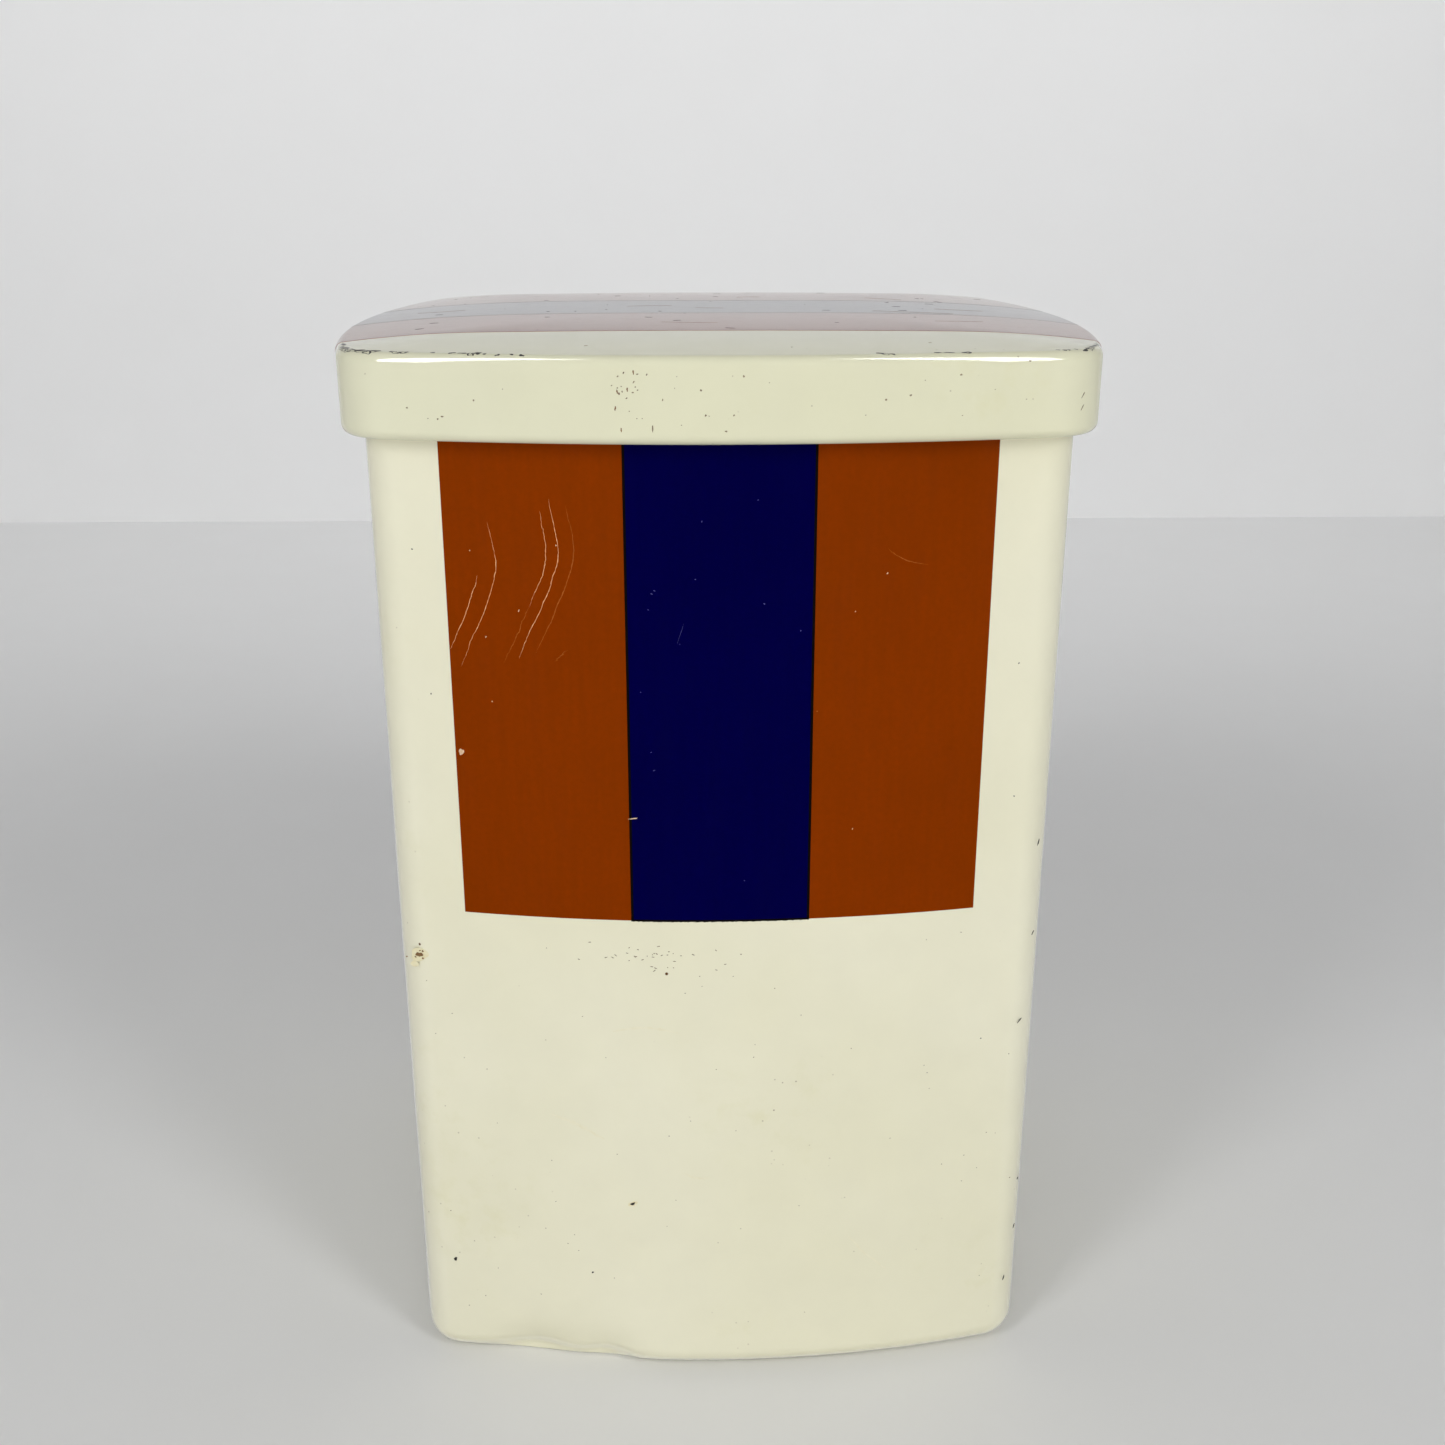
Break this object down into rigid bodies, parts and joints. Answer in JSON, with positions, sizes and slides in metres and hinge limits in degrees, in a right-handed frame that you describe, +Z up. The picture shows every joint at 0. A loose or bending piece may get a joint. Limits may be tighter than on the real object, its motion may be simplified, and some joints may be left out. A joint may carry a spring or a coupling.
{
  "type": "square tin canister",
  "caption": "Square tinplate canister with bowed sides, a rounded foot and a slip-over lid that lifts straight off; cream lacquer with broad printed stripes.",
  "frame": {"origin": "middle of the footprint, on the surface the canister stands on", "axes": "+Z up, the front faces -Y, +X to the right when looking at the front"},
  "size_m": [0.1378, 0.1378, 0.1987],
  "materials": {
    "cream_lacquer": "glossy baked cream lacquer on tinplate, chipped along the lid's shoulder",
    "orange_print": "glossy burnt orange print under varnish",
    "blue_print": "glossy deep blue print under varnish, with black key lines",
    "bare_tinplate": "bare rolled tinplate, dulled"
  },
  "bodies": {
    "canister": {"body_wall": "cream_lacquer", "base_panel": "bare_tinplate"},
    "lid": {"lid_cap": "cream_lacquer"}
  },
  "joints": [
    {"name": "lid_lift", "type": "slide", "parent": "canister", "child": "lid", "axis": [0, 0, 1], "range_m": [0, 0.06]}
  ]
}
